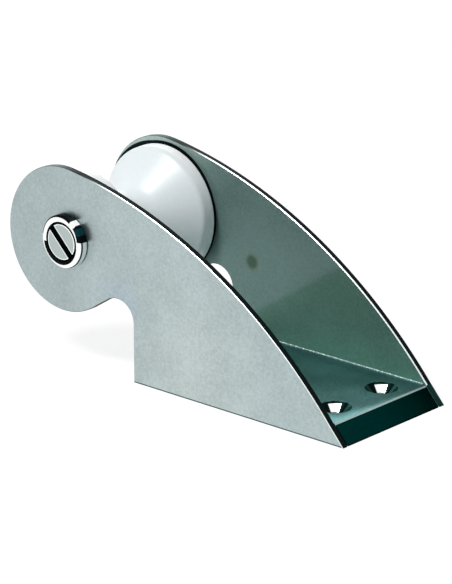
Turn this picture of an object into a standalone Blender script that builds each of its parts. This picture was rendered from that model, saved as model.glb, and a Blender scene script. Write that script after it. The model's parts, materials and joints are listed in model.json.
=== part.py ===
"""A small bow roller for an anchor chain: a welded stainless channel that screws to a foredeck, with a
nylon roller turning on a bolt in its nose.

All sizes are in metres. The origin is the centre of the base plate's underside, +X points aft, away
from the nose, +Y to the far cheek and +Z up. The roller's axle runs along Y.
"""

import math

import bmesh
import bpy
from mathutils import Matrix, Vector

# Clearances
SEAT_GAP = 0.0003  # between two parts that rest on each other
BOLT_CLEARANCE = 0.0003  # all round the bolt in the cheeks, the tube, the washer and the nut
RUNNING_CLEARANCE = 0.0001  # all round the tube in the roller
WASHER_CLEARANCE = 0.0003  # all round the tube in the thrust washers

# Channel
CHANNEL_WIDTH = 0.052  # over the outsides of the cheeks
CHEEK_THICKNESS = 0.0025
BASE_LENGTH = 0.0904
BASE_THICKNESS = 0.0063
REAR_BEVEL_RUN = 0.0057  # length over which the rear end slopes down to the deck
PLATE_CHAMFER = 0.0002  # on all edges of the cheeks and the base

# Outline of the cheeks
NOSE_RADIUS = 0.0252
NOSE_OVERHANG = 0.0322  # from the base's front end forward to the centre of the nose
NOSE_HEIGHT = 0.0433  # from the deck up to the centre of the nose
BACK_RADIUS = 0.185  # of the long arch that runs from the nose down to the rear end
NOTCH_SLOPE = math.radians(32.5)  # of the edge between the nose and the notch
NOTCH_RADIUS = 0.0074

# Screw holes
HOLE_PITCH_X = 0.060
HOLE_PITCH_Y = 0.0236
HOLE_DIAMETER = 0.0056
COUNTERSINK_DIAMETER = 0.011
COUNTERSINK_ANGLE = math.radians(90)

# Weld beads along the inside corners
BEAD_LEG = 0.0005
BEAD_END_INSET = 0.0015

# Axle, measured from the centre of the nose
AXLE_AFT = 0.0025
AXLE_UP = 0.0003
BOLT_DIAMETER = 0.010
BOLT_POINT = 0.001  # chamfer at the bolt's end
BOLT_PROJECTION = 0.0025  # out of the nut
HEAD_DIAMETER = 0.0184
HEAD_FACE_DIAMETER = 0.0140
HEAD_HEIGHT = 0.0030
HEAD_SIDE_HEIGHT = 0.0023
GROOVE_WIDTH = 0.0009  # of the groove turned just inside the edge of the flat face
GROOVE_DEPTH = 0.0005
SLOT_WIDTH = 0.0025
SLOT_DEPTH = 0.0015
SLOT_ANGLE = math.radians(45)
TUBE_DIAMETER = 0.014

# Roller
ROLLER_DIAMETER = 0.0462  # at the outer end of each rim
ROLLER_LAND = 0.0042  # width of the rim, from the roller's end to the crease
ROLLER_LAND_DROP = 0.0001  # radius lost across the rim, towards the crease
ROLLER_SHOULDER_RADIUS = 0.003  # between the crease and the conical flank
ROLLER_WAIST_DIAMETER = 0.0206
ROLLER_ROOT_RADIUS = 0.0094  # of the hollow between the two conical flanks
ROLLER_EDGE_RADIUS = 0.0012
BORE_CHAMFER = 0.0008

# Washers and nut
WASHER_CHAMFER = 0.0002
THRUST_WASHER_DIAMETER = 0.024
THRUST_WASHER_THICKNESS = 0.0007
NUT_WASHER_DIAMETER = 0.020
NUT_WASHER_THICKNESS = 0.002
NUT_ACROSS_FLATS = 0.017
NUT_HEX_HEIGHT = 0.0068
NUT_COLLAR_DIAMETER = 0.0148
NUT_COLLAR_HEIGHT = 0.0032
NUT_CHAMFER = math.radians(30)
INSERT_DIAMETER = 0.0128
INSERT_THICKNESS = 0.0022
INSERT_LIP = 0.0005  # metal rolled over the insert

# Facets of each arc or full turn
ARCH_STEPS = 36
NOSE_STEPS = 44
NOTCH_STEPS = 10
ROLLER_STEPS = 64
EDGE_STEPS = 4
SHOULDER_STEPS = 5
GROOVE_STEPS = 12
TURNED_STEPS = 48
SCREW_HOLE_STEPS = 32

BOLT_RADIUS = BOLT_DIAMETER / 2
BOLT_HOLE_RADIUS = BOLT_RADIUS + BOLT_CLEARANCE
TUBE_RADIUS = TUBE_DIAMETER / 2
OUTER_FACE = CHANNEL_WIDTH / 2
INNER_FACE = OUTER_FACE - CHEEK_THICKNESS
WASHER_MIDDLE = INNER_FACE - SEAT_GAP - THRUST_WASHER_THICKNESS / 2
ROLLER_END = WASHER_MIDDLE - THRUST_WASHER_THICKNESS / 2 - SEAT_GAP
BASE_FRONT = -BASE_LENGTH / 2
BASE_REAR = BASE_LENGTH / 2
NOSE_CENTRE = Vector((BASE_FRONT - NOSE_OVERHANG, NOSE_HEIGHT))
AXLE = NOSE_CENTRE + Vector((AXLE_AFT, AXLE_UP))
BEVEL_TOP = Vector((BASE_REAR - REAR_BEVEL_RUN, BASE_THICKNESS))


def clear_scene():
    for obj in list(bpy.data.objects):
        bpy.data.objects.remove(obj)


def make_material(name, color, roughness, metallic):
    material = bpy.data.materials.new(name)
    material.use_nodes = True
    shader = material.node_tree.nodes["Principled BSDF"]
    shader.inputs["Base Color"].default_value = (*color, 1)
    shader.inputs["Roughness"].default_value = roughness
    shader.inputs["Metallic"].default_value = metallic
    material.diffuse_color = (*color, 1)
    return material


def make_object(name, bm, material=None, parent=None, along=0.0):
    """An object from the bmesh, normals outward. A part on the axle lies `along` it from the middle."""
    bmesh.ops.recalc_face_normals(bm, faces=bm.faces)
    mesh = bpy.data.meshes.new(name)
    bm.to_mesh(mesh)
    bm.free()
    obj = bpy.data.objects.new(name, mesh)
    bpy.context.scene.collection.objects.link(obj)
    if material:
        mesh.materials.append(material)
    if parent:
        obj.parent = parent
        obj.location.z = along
    return obj


def make_cutter(name, bm, parent=None, along=0.0):
    cutter = make_object(name, bm, None, parent, along)
    cutter.hide_render = True
    cutter.display_type = "WIRE"
    return cutter


def add_boolean(obj, cutter, operation="DIFFERENCE"):
    boolean = obj.modifiers.new(cutter.name, "BOOLEAN")
    boolean.operation = operation
    boolean.object = cutter


def chamfer_plate(obj):
    bevel = obj.modifiers.new("plate chamfer", "BEVEL")
    bevel.width = PLATE_CHAMFER
    bevel.segments = 1
    bevel.limit_method = "ANGLE"
    bevel.angle_limit = math.radians(35)


def smooth(obj):
    obj.data.shade_smooth()
    obj.data.set_sharp_from_angle(angle=math.radians(30))


def arc(centre, radius, start, end, steps):
    """Points of a circle's arc, in the plane of the outline, from the start angle to the end angle."""
    turns = [start + (end - start) * i / steps for i in range(steps + 1)]
    return [centre + radius * Vector((math.cos(turn), math.sin(turn))) for turn in turns]


def angle_of(vector):
    return math.atan2(vector.y, vector.x)


def prism(corners, run):
    """A closed solid: the polygon through the corners, extruded by the vector `run`."""
    bm = bmesh.new()
    face = bm.faces.new([bm.verts.new(corner) for corner in corners])
    side = bmesh.ops.extrude_face_region(bm, geom=[face])
    moved = [item for item in side["geom"] if isinstance(item, bmesh.types.BMVert)]
    bmesh.ops.translate(bm, verts=moved, vec=run)
    return bm


def turned(profile, steps, closed):
    """A solid turned round Z from (radius, height) points. A closed profile makes a ring."""
    bm = bmesh.new()
    verts = [bm.verts.new((radius, 0, height)) for radius, height in profile]
    pairs = list(zip(verts, verts[1:]))
    if closed:
        pairs.append((verts[-1], verts[0]))
    edges = [bm.edges.new(pair) for pair in pairs]
    bmesh.ops.spin(
        bm,
        geom=verts + edges,
        cent=(0, 0, 0),
        axis=(0, 0, 1),
        angle=math.tau,
        steps=steps,
        use_merge=True,
    )
    bmesh.ops.remove_doubles(bm, verts=bm.verts, dist=1e-7)
    return bm


def ring(inner, outer, bottom, top, edge=0.0):
    """Profile of a plain ring, with its four corners chamfered by `edge`."""
    if not edge:
        return [(inner, bottom), (outer, bottom), (outer, top), (inner, top)]
    return [
        (inner + edge, bottom),
        (outer - edge, bottom),
        (outer, bottom + edge),
        (outer, top - edge),
        (outer - edge, top),
        (inner + edge, top),
        (inner, top - edge),
        (inner, bottom + edge),
    ]


def back_arch_centre():
    """The long arch touches the nose circle from outside and ends at the top of the rear bevel."""
    from_nose = BACK_RADIUS - NOSE_RADIUS
    span = BEVEL_TOP - NOSE_CENTRE
    along = (from_nose**2 - BACK_RADIUS**2 + span.length_squared) / (2 * span.length)
    across = math.sqrt(from_nose**2 - along**2)
    forward = span.normalized()
    return NOSE_CENTRE + along * forward + across * Vector((forward.y, -forward.x))


def notch_centre():
    """The notch touches the sloping edge under the nose and the upright front end of the base."""
    outward = Vector((math.sin(NOTCH_SLOPE), -math.cos(NOTCH_SLOPE)))
    touch = NOSE_CENTRE + NOSE_RADIUS * outward
    x = BASE_FRONT - NOTCH_RADIUS
    z = touch.y + ((x - touch.x) * outward.x - NOTCH_RADIUS) / -outward.y
    return Vector((x, z))


def cheek_outline():
    """The cheek's outline in X and Z, from the rear bottom corner over the top and round the nose."""
    arch = back_arch_centre()
    notch = notch_centre()
    arch_end = angle_of(NOSE_CENTRE - arch)
    nose_end = NOTCH_SLOPE - math.pi / 2 + math.tau
    points = [Vector((BASE_REAR, 0))]
    points += arc(arch, BACK_RADIUS, angle_of(BEVEL_TOP - arch), arch_end, ARCH_STEPS)
    points += arc(NOSE_CENTRE, NOSE_RADIUS, arch_end, nose_end, NOSE_STEPS)[1:]
    points += arc(notch, NOTCH_RADIUS, NOTCH_SLOPE + math.pi / 2, 0, NOTCH_STEPS)
    points.append(Vector((BASE_FRONT, 0)))
    return points


def make_cheek(name, outer_y, inward, material, hole):
    corners = [(x, outer_y, z) for x, z in cheek_outline()]
    cheek = make_object(name, prism(corners, (0, inward * CHEEK_THICKNESS, 0)), material)
    chamfer_plate(cheek)
    add_boolean(cheek, hole)
    return cheek


def screw_hole_cutters():
    """One cutter for each screw hole: a straight drill with a countersink at the floor."""
    drill = HOLE_DIAMETER / 2
    sink = COUNTERSINK_DIAMETER / 2
    depth = (sink - drill) / math.tan(COUNTERSINK_ANGLE / 2)
    over = 0.002
    wide = sink + over * math.tan(COUNTERSINK_ANGLE / 2)
    profile = [
        (0, BASE_THICKNESS + over),
        (wide, BASE_THICKNESS + over),
        (drill, BASE_THICKNESS - depth),
        (drill, -over),
        (0, -over),
    ]
    for i, (side_x, side_y) in enumerate(((1, -1), (1, 1), (-1, -1), (-1, 1))):
        cutter = make_cutter(f"screw_hole_{i + 1}", turned(profile, SCREW_HOLE_STEPS, closed=False))
        cutter.location = (side_x * HOLE_PITCH_X / 2, side_y * HOLE_PITCH_Y / 2, 0)
        yield cutter


def make_base(material):
    half = INNER_FACE - SEAT_GAP
    outline = [
        (BASE_FRONT, 0),
        (BASE_REAR, 0),
        (BEVEL_TOP.x, BASE_THICKNESS),
        (BASE_FRONT, BASE_THICKNESS),
    ]
    corners = [(x, -half, z) for x, z in outline]
    base = make_object("base_plate", prism(corners, (0, 2 * half, 0)), material)
    chamfer_plate(base)
    for cutter in screw_hole_cutters():
        add_boolean(base, cutter)
    return base


def make_bead(name, side, material):
    """A fillet weld in the corner of the floor and a cheek. Its face is a shallow hollow curve."""
    corner_y = INNER_FACE - SEAT_GAP
    floor = BASE_THICKNESS + SEAT_GAP
    start = BASE_FRONT + BEAD_END_INSET
    end = BEVEL_TOP.x - BEAD_END_INSET
    steps = 4
    section = [(0, 0)]
    for i in range(steps + 1):
        t = i / steps
        hollow = 0.7 * t * (1 - t)
        section.append((BEAD_LEG * (1 - t - hollow * t), BEAD_LEG * (t - hollow * (1 - t))))
    corners = [(start, side * (corner_y - out), floor + up) for out, up in section]
    return make_object(name, prism(corners, (end - start, 0, 0)), material)


def make_axle_frame():
    """An empty on the axle, in the middle of the channel, with its Z along the world's +Y."""
    frame = bpy.data.objects.new("axle_axis", None)
    frame.empty_display_size = CHANNEL_WIDTH / 2
    frame.location = (AXLE.x, 0, AXLE.y)
    frame.rotation_euler.x = -math.pi / 2
    bpy.context.scene.collection.objects.link(frame)
    return frame


def make_roller(axle, material):
    """Hourglass. From each rim a rounded shoulder runs into a conical flank, and that into the waist.

    The flank is the straight line that touches the shoulder's circle and, on its other side, the
    waist's. `lean` is the direction of its normal.
    """
    rim = ROLLER_DIAMETER / 2
    bore = TUBE_RADIUS + RUNNING_CLEARANCE
    crease = ROLLER_END - ROLLER_LAND
    shoulder = Vector((rim - ROLLER_LAND_DROP - ROLLER_SHOULDER_RADIUS, crease))
    near_shoulder = Vector((shoulder.x, -shoulder.y))
    root = Vector((ROLLER_WAIST_DIAMETER / 2 + ROLLER_ROOT_RADIUS, 0))
    apart = shoulder - root
    lean = angle_of(apart) - math.acos(-(ROLLER_SHOULDER_RADIUS + ROLLER_ROOT_RADIUS) / apart.length)
    touch = lean + math.pi
    edge = Vector((rim - ROLLER_EDGE_RADIUS, ROLLER_END - ROLLER_EDGE_RADIUS))
    near_edge = Vector((edge.x, -edge.y))
    profile = [(bore, -ROLLER_END + BORE_CHAMFER), (bore + BORE_CHAMFER, -ROLLER_END)]
    profile += arc(near_edge, ROLLER_EDGE_RADIUS, -math.pi / 2, 0, EDGE_STEPS)
    profile += arc(near_shoulder, ROLLER_SHOULDER_RADIUS, 0, -lean, SHOULDER_STEPS)
    profile += arc(root, ROLLER_ROOT_RADIUS, math.tau - touch, touch, GROOVE_STEPS)
    profile += arc(shoulder, ROLLER_SHOULDER_RADIUS, lean, 0, SHOULDER_STEPS)
    profile += arc(edge, ROLLER_EDGE_RADIUS, 0, math.pi / 2, EDGE_STEPS)
    profile += [(bore + BORE_CHAMFER, ROLLER_END), (bore, ROLLER_END - BORE_CHAMFER)]
    roller = make_object("roller", turned(profile, ROLLER_STEPS, closed=True), material, axle)
    smooth(roller)
    return roller


def nut_seat():
    return OUTER_FACE + SEAT_GAP + NUT_WASHER_THICKNESS + SEAT_GAP


def nut_height():
    return NUT_HEX_HEIGHT + NUT_COLLAR_HEIGHT


def make_bolt(axle, material):
    """A pan head with a grooved face and a screwdriver slot, and a plain shank that reaches out of the nut."""
    head = HEAD_DIAMETER / 2
    face = HEAD_FACE_DIAMETER / 2
    seat = -OUTER_FACE - SEAT_GAP
    length = nut_seat() + nut_height() + BOLT_PROJECTION - seat
    rounding = HEAD_HEIGHT - HEAD_SIDE_HEIGHT
    steps = 6
    profile = [
        (0, -HEAD_HEIGHT),
        (face - GROOVE_WIDTH, -HEAD_HEIGHT),
        (face - GROOVE_WIDTH * 2 / 3, -HEAD_HEIGHT + GROOVE_DEPTH),
        (face - GROOVE_WIDTH / 3, -HEAD_HEIGHT + GROOVE_DEPTH),
    ]
    for i in range(steps + 1):
        turn = math.pi / 2 * i / steps
        radius = face + (head - face) * math.sin(turn)
        profile.append((radius, -HEAD_SIDE_HEIGHT - rounding * math.cos(turn)))
    profile += [
        (head, 0),
        (BOLT_RADIUS, 0),
        (BOLT_RADIUS, length - BOLT_POINT),
        (BOLT_RADIUS - BOLT_POINT, length),
        (0, length),
    ]
    bolt = make_object("axle_bolt", turned(profile, TURNED_STEPS, closed=False), material, axle, seat)
    slot_end = face - GROOVE_WIDTH / 2
    slot = prism(
        [
            (-slot_end, -SLOT_WIDTH / 2, -2 * HEAD_HEIGHT),
            (slot_end, -SLOT_WIDTH / 2, -2 * HEAD_HEIGHT),
            (slot_end, SLOT_WIDTH / 2, -2 * HEAD_HEIGHT),
            (-slot_end, SLOT_WIDTH / 2, -2 * HEAD_HEIGHT),
        ],
        (0, 0, HEAD_HEIGHT + SLOT_DEPTH),
    )
    bmesh.ops.rotate(slot, verts=slot.verts, cent=(0, 0, 0), matrix=Matrix.Rotation(SLOT_ANGLE, 3, "Z"))
    add_boolean(bolt, make_cutter("bolt_slot", slot, axle, seat))
    smooth(bolt)
    return bolt


def make_tube(axle, material):
    half = INNER_FACE - SEAT_GAP
    profile = ring(BOLT_HOLE_RADIUS, TUBE_RADIUS, -half, half)
    tube = make_object("spacer_tube", turned(profile, TURNED_STEPS, closed=True), material, axle)
    smooth(tube)
    return tube


def make_thrust_washer(name, side, axle, material):
    """Lies between the roller's end and the cheek, with a seat gap on both faces."""
    half = THRUST_WASHER_THICKNESS / 2
    inner = TUBE_RADIUS + WASHER_CLEARANCE
    profile = ring(inner, THRUST_WASHER_DIAMETER / 2, -half, half, WASHER_CHAMFER)
    along = side * WASHER_MIDDLE
    washer = make_object(name, turned(profile, TURNED_STEPS, closed=True), material, axle, along)
    smooth(washer)
    return washer


def make_nut_washer(axle, material):
    outer = NUT_WASHER_DIAMETER / 2
    profile = ring(BOLT_HOLE_RADIUS, outer, 0, NUT_WASHER_THICKNESS, WASHER_CHAMFER)
    seat = OUTER_FACE + SEAT_GAP
    washer = make_object("nut_washer", turned(profile, TURNED_STEPS, closed=True), material, axle, seat)
    smooth(washer)
    return washer


def insert_seat():
    """Height of the insert's lower face above the nut's lower face."""
    return nut_height() - INSERT_LIP - SEAT_GAP - INSERT_THICKNESS


def make_nut(axle, material):
    """A hexagon with chamfered corners and a round collar, whose lip holds the nylon insert."""
    corner = NUT_ACROSS_FLATS / 2 / math.cos(math.pi / 6)
    flat = NUT_ACROSS_FLATS / 2
    drop = (corner - flat) * math.tan(NUT_CHAMFER)
    collar = NUT_COLLAR_DIAMETER / 2
    recess = INSERT_DIAMETER / 2 + SEAT_GAP
    top = nut_height()
    lip = recess - INSERT_LIP
    profile = [
        (BOLT_HOLE_RADIUS, 0),
        (flat, 0),
        (corner, drop),
        (corner, NUT_HEX_HEIGHT - drop),
        (flat, NUT_HEX_HEIGHT),
        (collar, NUT_HEX_HEIGHT),
        (collar, top - INSERT_LIP),
        (collar - INSERT_LIP, top),
        (lip, top),
        (lip, top - INSERT_LIP),
        (recess, top - INSERT_LIP),
        (recess, insert_seat() - SEAT_GAP),
        (BOLT_HOLE_RADIUS, insert_seat() - SEAT_GAP),
    ]
    nut = make_object("lock_nut", turned(profile, TURNED_STEPS, closed=True), material, axle, nut_seat())
    sides = [math.tau * i / 6 for i in range(6)]
    corners = [(corner * math.cos(turn), corner * math.sin(turn), -top) for turn in sides]
    hexagon = make_cutter("nut_hexagon", prism(corners, (0, 0, 3 * top)), axle, nut_seat())
    add_boolean(nut, hexagon, "INTERSECT")
    smooth(nut)
    return nut


def make_insert(axle, material):
    profile = ring(BOLT_HOLE_RADIUS, INSERT_DIAMETER / 2, 0, INSERT_THICKNESS)
    along = nut_seat() + insert_seat()
    insert = make_object("nut_insert", turned(profile, TURNED_STEPS, closed=True), material, axle, along)
    smooth(insert)
    return insert


def main():
    clear_scene()
    brushed_steel = make_material("brushed stainless", (0.47, 0.50, 0.49), 0.35, 1.0)
    weld_steel = make_material("weld metal", (0.50, 0.52, 0.50), 0.3, 1.0)
    bright_steel = make_material("bright stainless", (0.62, 0.64, 0.63), 0.18, 1.0)
    white_nylon = make_material("white nylon", (0.85, 0.87, 0.88), 0.3, 0.0)
    washer_plastic = make_material("washer acetal", (0.78, 0.79, 0.77), 0.45, 0.0)
    insert_nylon = make_material("insert nylon", (0.20, 0.32, 0.55), 0.5, 0.0)

    axle = make_axle_frame()
    reach = CHANNEL_WIDTH
    bolt_hole = turned(
        [(0, -reach), (BOLT_HOLE_RADIUS, -reach), (BOLT_HOLE_RADIUS, reach), (0, reach)],
        TURNED_STEPS,
        closed=False,
    )
    hole = make_cutter("bolt_hole", bolt_hole, axle)
    make_cheek("near_cheek", -OUTER_FACE, 1, brushed_steel, hole)
    make_cheek("far_cheek", OUTER_FACE, -1, brushed_steel, hole)
    make_base(brushed_steel)
    make_bead("near_weld_bead", -1, weld_steel)
    make_bead("far_weld_bead", 1, weld_steel)

    make_bolt(axle, bright_steel)
    make_tube(axle, bright_steel)
    make_roller(axle, white_nylon)
    make_thrust_washer("near_thrust_washer", -1, axle, washer_plastic)
    make_thrust_washer("far_thrust_washer", 1, axle, washer_plastic)
    make_nut_washer(axle, bright_steel)
    make_nut(axle, bright_steel)
    make_insert(axle, insert_nylon)


main()
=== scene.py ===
"""The looks of a small bow roller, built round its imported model.

The sections follow the order in which the real one goes together: the welded channel, the roller on its
tube, and the bolt with its washer and nut. Lengths are in metres.
"""

import json
import math
import random

import bmesh
import bpy
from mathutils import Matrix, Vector


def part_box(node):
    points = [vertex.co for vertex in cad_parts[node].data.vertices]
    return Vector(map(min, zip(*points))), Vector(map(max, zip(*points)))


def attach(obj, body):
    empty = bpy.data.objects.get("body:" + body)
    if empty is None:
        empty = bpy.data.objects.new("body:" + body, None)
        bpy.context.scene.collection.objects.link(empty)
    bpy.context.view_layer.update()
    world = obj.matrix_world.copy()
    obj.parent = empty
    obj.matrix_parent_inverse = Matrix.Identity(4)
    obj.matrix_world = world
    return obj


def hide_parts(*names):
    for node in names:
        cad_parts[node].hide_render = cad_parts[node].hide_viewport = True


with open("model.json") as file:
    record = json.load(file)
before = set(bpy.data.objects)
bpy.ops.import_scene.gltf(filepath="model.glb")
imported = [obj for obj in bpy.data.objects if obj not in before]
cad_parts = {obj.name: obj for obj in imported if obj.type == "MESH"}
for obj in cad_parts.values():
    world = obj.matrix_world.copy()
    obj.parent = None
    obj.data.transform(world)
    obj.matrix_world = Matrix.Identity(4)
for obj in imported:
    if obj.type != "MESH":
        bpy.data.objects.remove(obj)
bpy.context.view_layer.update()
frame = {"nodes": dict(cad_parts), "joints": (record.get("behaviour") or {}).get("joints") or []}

# Studio
# A pale table under soft light, seen through a long lens from aft of the near side. The white that the
# camera and the metal see is set apart from the light that falls on the object.
CAMERA_PLACE = Vector((0.62247, -0.73032, 0.36054))
CAMERA_AIM = Vector((-0.02727, 0, 0.02933))
CAMERA_LENS = 191.45
CAMERA_SENSOR = 36
CAMERA_REACH = 50
TABLE_RADIUS = 6.0
TABLE_SIDES = 96
TABLE_WHITE = 0.86
TABLE_ROUGHNESS = 0.9
TABLE_GLOSS = 0.1
TABLE_GLOW = 0.7  # share of the table's own light in what the camera and the metal see
GLOW_STRENGTH = 1.17
ROOM_LIGHT = 0.22  # from the room on surfaces
LAMP_AIM = Vector((-0.04, 0, 0.03))
LAMPS = (  # name, place, width and power
    ("key", (-0.207, -0.726, 1.139), 0.45, 13.5),
    ("side", (1.1, -0.1, 0.4), 0.8, 0.3),
    ("back", (-0.7, 0.9, 0.35), 0.8, 3),
)


def add_node(tree, kind, **settings):
    node = tree.nodes.new("ShaderNode" + kind)
    for name, value in settings.items():
        setattr(node, name, value)
    return node


def calculate(tree, operation, *values):
    """A Math node on numbers or sockets. It gives its result's socket."""
    node = add_node(tree, "Math", operation=operation)
    for socket, value in zip(node.inputs, values):
        if isinstance(value, bpy.types.NodeSocket):
            tree.links.new(value, socket)
        else:
            socket.default_value = value
    return node.outputs[0]


def seen_directly(tree):
    """1 for what the camera sees, itself or in metal or glass, and 0 for the light on surfaces."""
    path = add_node(tree, "LightPath")
    mirrored = calculate(tree, "MAXIMUM", path.outputs["Is Glossy Ray"], path.outputs["Is Transmission Ray"])
    return calculate(tree, "MAXIMUM", path.outputs["Is Camera Ray"], mirrored)


def light_the_room():
    world = bpy.data.worlds.new("studio")
    world.use_nodes = True
    bpy.context.scene.world = world
    tree = world.node_tree
    strength = calculate(tree, "MULTIPLY_ADD", seen_directly(tree), 1 - ROOM_LIGHT, ROOM_LIGHT)
    tree.links.new(strength, tree.nodes["Background"].inputs["Strength"])
    tree.nodes["Background"].inputs["Color"].default_value = (1, 1, 1, 1)


def lay_table():
    """The table is diffuse, so it takes the shadow, with a glow that keeps it white elsewhere."""
    bpy.ops.object.select_all(action="DESELECT")
    bpy.ops.mesh.primitive_circle_add(vertices=TABLE_SIDES, radius=TABLE_RADIUS, fill_type="NGON")
    table = bpy.context.object
    table.name = "table"
    material = bpy.data.materials.new("pale table")
    material.use_nodes = True
    tree = material.node_tree
    shader = tree.nodes["Principled BSDF"]
    shader.inputs["Base Color"].default_value = (TABLE_WHITE, TABLE_WHITE, TABLE_WHITE, 1)
    shader.inputs["Roughness"].default_value = TABLE_ROUGHNESS
    shader.inputs["Specular IOR Level"].default_value = TABLE_GLOSS
    glow = add_node(tree, "Emission")
    glow.inputs["Strength"].default_value = GLOW_STRENGTH
    mix = add_node(tree, "MixShader")
    tree.links.new(calculate(tree, "MULTIPLY", seen_directly(tree), TABLE_GLOW), mix.inputs["Fac"])
    tree.links.new(shader.outputs[0], mix.inputs[1])
    tree.links.new(glow.outputs[0], mix.inputs[2])
    tree.links.new(mix.outputs[0], tree.nodes["Material Output"].inputs["Surface"])
    table.data.materials.append(material)


def hang_lamp(name, place, width, power):
    lamp = bpy.data.objects.new(name, bpy.data.lights.new(name, "AREA"))
    bpy.context.scene.collection.objects.link(lamp)
    lamp.location = place
    lamp.rotation_euler = (LAMP_AIM - Vector(place)).to_track_quat("-Z", "Y").to_euler()
    lamp.data.shape = "DISK"
    lamp.data.size = width
    lamp.data.energy = power
    lamp.visible_camera = False


camera = bpy.data.objects.new("camera", bpy.data.cameras.new("camera"))
bpy.context.scene.collection.objects.link(camera)
camera.location = CAMERA_PLACE
camera.rotation_euler = (CAMERA_AIM - CAMERA_PLACE).to_track_quat("-Z", "Y").to_euler()
camera.data.lens = CAMERA_LENS
camera.data.sensor_width = CAMERA_SENSOR
camera.data.clip_end = CAMERA_REACH
bpy.context.scene.camera = camera
bpy.context.scene.view_settings.view_transform = "Standard"
light_the_room()
lay_table()
for lamp_values in LAMPS:
    hang_lamp(*lamp_values)

# Cheeks
# Two flat stainless plates, cut to the outline and blasted to a fine matte grain. Their cut edges are painted
# almost black as a dark reflection, with a painted highlight along the corners of the arch. The inner faces
# are painted darker than the outer ones as shade, and the outer faces carry painted shade and a painted
# sheen.
CHEEK_FACE = 0.026  # from the middle to each outer face
CHEEK_THICKNESS = 0.0025
PLATE_CHAMFER = 0.0002
BASE_FRONT = -0.0452
NOSE_CENTRE = Vector((-0.0774, 0, 0.0433))
SLOPE_START = 0.0395  # where the rear end starts to slope down to the deck
STEEL_OUTER = (0.410, 0.486, 0.491)
# painted shade on the outer face's nose, and a painted sheen low down
STEEL_OUTER_NOSE_SHADE = (0.380, 0.452, 0.458)
STEEL_PAINTED_SHEEN = (0.455, 0.525, 0.518)
STEEL_BLUISH = (0.370, 0.452, 0.500)
# inner faces painted in shade, with painted light on the nose and more painted shade aft of a slanting line
STEEL_INNER_SHADED = (0.162, 0.250, 0.234)
STEEL_INNER_NOSE_LIT = (0.420, 0.540, 0.510)
STEEL_INNER_SHADED_AFT = (0.112, 0.210, 0.170)
# painted dark reflection on the cut edges, lighter on the arch towards the nose
STEEL_PAINTED_DARK = (0.003, 0.008, 0.008)
STEEL_PAINTED_DARK_NOSE = (0.12, 0.17, 0.165)
# painted highlight along the arch's corners
STEEL_CHAMFER_HIGHLIGHT = (0.72, 0.78, 0.77)
# painted shade along the bottom of the outer faces
STEEL_FOOT_SHADE = (0.05, 0.09, 0.085)
# painted dark reflection on the rear slopes
STEEL_SLOPE_PAINTED_DARK = (0.0005, 0.022, 0.020)
STEEL_ROUGHNESS = 0.36
STEEL_GRAIN = (0.0008, 0.5, 0.00001)  # size, contrast and height, for every grain here
GRAIN_DETAIL = 3
MOTTLE_SCALE = 70
MOTTLE_DETAIL = 4
MOTTLE_SHARE = 0.6  # of the slow mottling, beside the fine grain
NOISE_MEAN = 0.5
SKIN = 0.00001  # depth in the plate that still counts as its face
DULL_GLOSS = 0.02  # of what isn't bare metal, such as what is painted dark
INNER_METALLIC = 0.35  # the inner faces are painted in shade and only partly metal
SHEEN_PLACE = Vector((-0.020, 0, 0.008))
SHEEN_REACH = 0.050
BLUISH_PLACE = Vector((-0.052, 0, 0.024))
BLUISH_REACH = 0.018
PATCH_SCALE = 90
PATCH_DETAIL = 2
PATCH_RANGE = (0.3, 0.6)  # the noise's values where a patch starts and is full
ARCH_HIGHLIGHT = (-0.070, -0.053)  # along X, from where the painted highlight on the arch's corners starts to where it is full
OUTER_HIGHLIGHT = 0.00022  # how far the painted highlight on the near cheek's outer corner reaches into the cut
INNER_HIGHLIGHT = 0.0005  # and the painted highlight on the far cheek's inner corner
CUT_FADE = (-0.068, -0.084)  # along X, from where the painted dark on the arch's cut gets lighter to where it fully is
FOOT_SHADE_HEIGHT = 0.0006  # height of the painted shade line along the bottom of the outer faces
NOSE_FADE = (-0.050, -0.080)  # along X, from where the colours change to where they are the nose's
# painted shadow of the roller on the far cheek's inner face
ROLLER_SHADOW_BLEND = 0.0001
ROLLER_SHADOW_DISCS = ((Vector((-0.0762, 0, 0.0435)), 0.0236), (Vector((-0.0786, 0, 0.0420)), 0.0246))
ROLLER_SHADOW = (0.004, 0.010, 0.009)
SHADE_ON = Vector((0.0044, 0, 0.0399))  # a point of the line where the inner face turns darker
SHADE_SLOPE = math.radians(32.8)
SHADE_BLEND = 0.0012
HEAT_SPOT = Vector((-0.0364, 0, 0.0321))
HEAT_SPOT_RIM = (0.00364, 0.00224)  # from its centre, where its edge starts and is full
HEAT_SPOT_MIDDLE = (0.0028, 0.0014)
HEAT_SPOT_CORE = (0.070, 0.130, 0.095)
HEAT_SPOT_EDGE = (0.140, 0.200, 0.150)

axle = Vector(frame["joints"][0]["pos_m"])


def add_socket(group, in_out, name, kind, value=None):
    socket = group.interface.new_socket(name=name, in_out=in_out, socket_type="NodeSocket" + kind)
    if value is not None:
        socket.default_value = value


def start_group(name, inputs, outputs):
    group = bpy.data.node_groups.new(name, "ShaderNodeTree")
    for label, kind, value in inputs:
        add_socket(group, "INPUT", label, kind, value)
    for label, kind in outputs:
        add_socket(group, "OUTPUT", label, kind)
    return group, group.nodes.new("NodeGroupInput").outputs, group.nodes.new("NodeGroupOutput").inputs


def object_place(tree):
    return add_node(tree, "TexCoord").outputs["Object"]


def add_noise(tree, scale, detail):
    noise = add_node(tree, "TexNoise")
    tree.links.new(object_place(tree), noise.inputs["Vector"])
    noise.inputs["Detail"].default_value = detail
    if isinstance(scale, bpy.types.NodeSocket):
        tree.links.new(scale, noise.inputs["Scale"])
    else:
        noise.inputs["Scale"].default_value = scale
    return noise.outputs["Fac"]


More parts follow.
